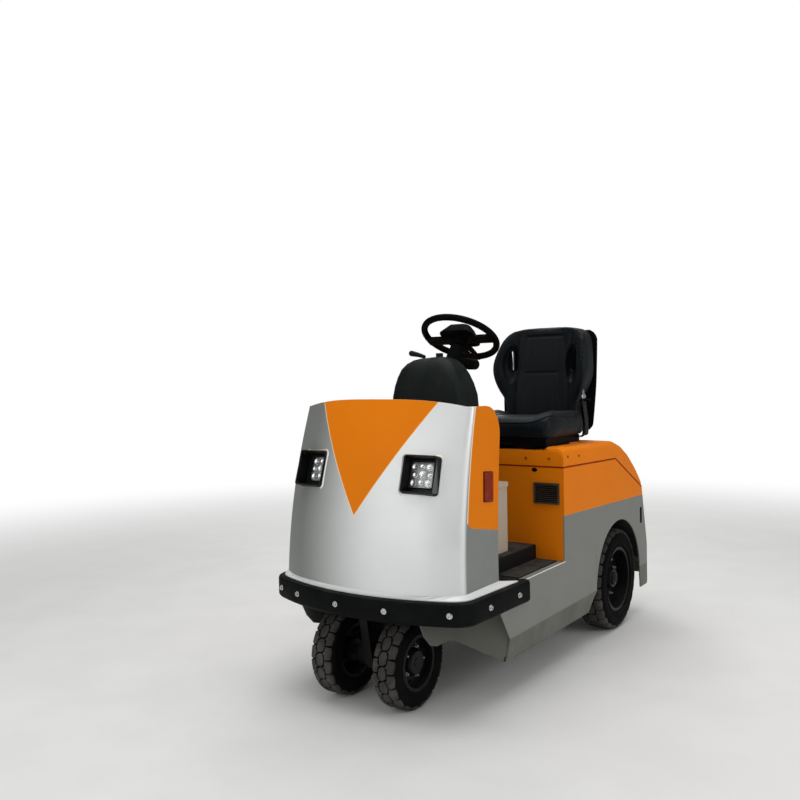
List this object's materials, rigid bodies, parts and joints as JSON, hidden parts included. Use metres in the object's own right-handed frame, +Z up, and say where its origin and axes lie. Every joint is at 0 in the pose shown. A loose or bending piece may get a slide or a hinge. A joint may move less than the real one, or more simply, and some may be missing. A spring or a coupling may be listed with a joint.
{
  "type": "baggage tow tractor",
  "caption": "Compact electric baggage tug with a rounded silver and orange cowl, twin steered front wheels, an offset seat on a hinged battery lid and a rear tow coupling.",
  "frame": {"origin": "on the ground at the middle of the length and width, below the body", "axes": "+X to the front of the vehicle, +Y to the driver's left, +Z up"},
  "size_m": [2.258, 1.036, 1.628],
  "materials": {
    "frame_paint": "satin",
    "body_paint": "satin",
    "bumper_rubber": "matte",
    "silver_paint": "gloss",
    "black_plastic": "textured",
    "lamp_glass": "clear",
    "marker_lens": "gloss",
    "dark_panel": "matte",
    "wheel_grip": "textured",
    "box_paint": "satin",
    "floor_rubber": "matte",
    "dark_steel": "satin",
    "orange_paint": "gloss",
    "grille_plastic": "matte",
    "tail_lens": "gloss",
    "battery_case": "satin",
    "seat_cover": "woven",
    "buckle_red": "gloss",
    "tyre_rubber": "matte",
    "rim_paint": "satin",
    "coupling_iron": "satin",
    "pin_steel": "satin"
  },
  "bodies": {
    "chassis": {"chassis_frame": "frame_paint", "wheel_well": "frame_paint", "sills": "body_paint", "bumper": "bumper_rubber", "base_ledge": "silver_paint", "front_cowl": "silver_paint", "headlamp_housings": "black_plastic", "headlamp_lenses": "lamp_glass", "side_markers": "marker_lens", "cowl_deck": "black_plastic", "bulkhead": "dark_panel", "dash_binnacle": "black_plastic", "dash_controls": "black_plastic", "column_shroud": "black_plastic", "stowage_box": "box_paint", "raised_floor": "dark_panel", "step_mats": "floor_rubber", "pedals": "dark_steel", "box_front": "orange_paint", "vent_grilles": "grille_plastic", "body_sides": "body_paint", "rear_wall": "body_paint", "rear_arches": "dark_panel", "tail_lamps": "tail_lens", "battery": "battery_case", "rear_axle": "dark_steel", "lid_hinge": "dark_steel", "lid_buffers": "floor_rubber", "tow_coupling": "coupling_iron"},
    "steer_unit": {"turntable": "dark_steel"},
    "front_wheels": {"front_tyres": "tyre_rubber", "front_rims": "rim_paint"},
    "rear_wheel_left": {"rear_tyre_left": "tyre_rubber", "rear_rim_left": "rim_paint"},
    "rear_wheel_right": {"rear_tyre_right": "tyre_rubber", "rear_rim_right": "rim_paint"},
    "steering_wheel_body": {"steering_wheel": "wheel_grip"},
    "lid_with_seat": {"lid": "orange_paint", "lid_hinge_leaf": "dark_steel", "seat_base": "dark_steel", "seat_cushion": "seat_cover", "seat_back": "seat_cover", "seat_shell": "black_plastic", "belt_buckles": "buckle_red"},
    "coupling_pin": {"tow_pin": "pin_steel"}
  },
  "joints": [
    {"name": "steer", "type": "hinge", "parent": "chassis", "child": "steer_unit", "pos_m": [0.921, 0, 0.19], "axis": [0, 0, 1], "range_deg": [-80, 80]},
    {"name": "front_roll", "type": "hinge", "parent": "steer_unit", "child": "front_wheels", "pos_m": [0.921, 0, 0.19], "axis": [0, 1, 0], "continuous": true},
    {"name": "rear_roll_left", "type": "hinge", "parent": "chassis", "child": "rear_wheel_left", "pos_m": [-0.569, 0.425, 0.263], "axis": [0, 1, 0], "continuous": true},
    {"name": "rear_roll_right", "type": "hinge", "parent": "chassis", "child": "rear_wheel_right", "pos_m": [-0.569, -0.425, 0.263], "axis": [0, 1, 0], "continuous": true},
    {"name": "steering_wheel_turn", "type": "hinge", "parent": "chassis", "child": "steering_wheel_body", "pos_m": [0.439, 0.14, 1.529], "axis": [-0.5, 0, 0.866], "range_deg": [-400, 400]},
    {"name": "lid_open", "type": "hinge", "parent": "chassis", "child": "lid_with_seat", "pos_m": [-0.945, 0, 0.705], "axis": [0, -1, 0], "range_deg": [0, 50]},
    {"name": "pin_lift", "type": "slide", "parent": "chassis", "child": "coupling_pin", "axis": [0, 0, 1], "range_m": [0, 0.098]}
  ],
  "couplings": [
    {"joint": "steering_wheel_turn", "follows": "steer", "ratio": 5}
  ]
}
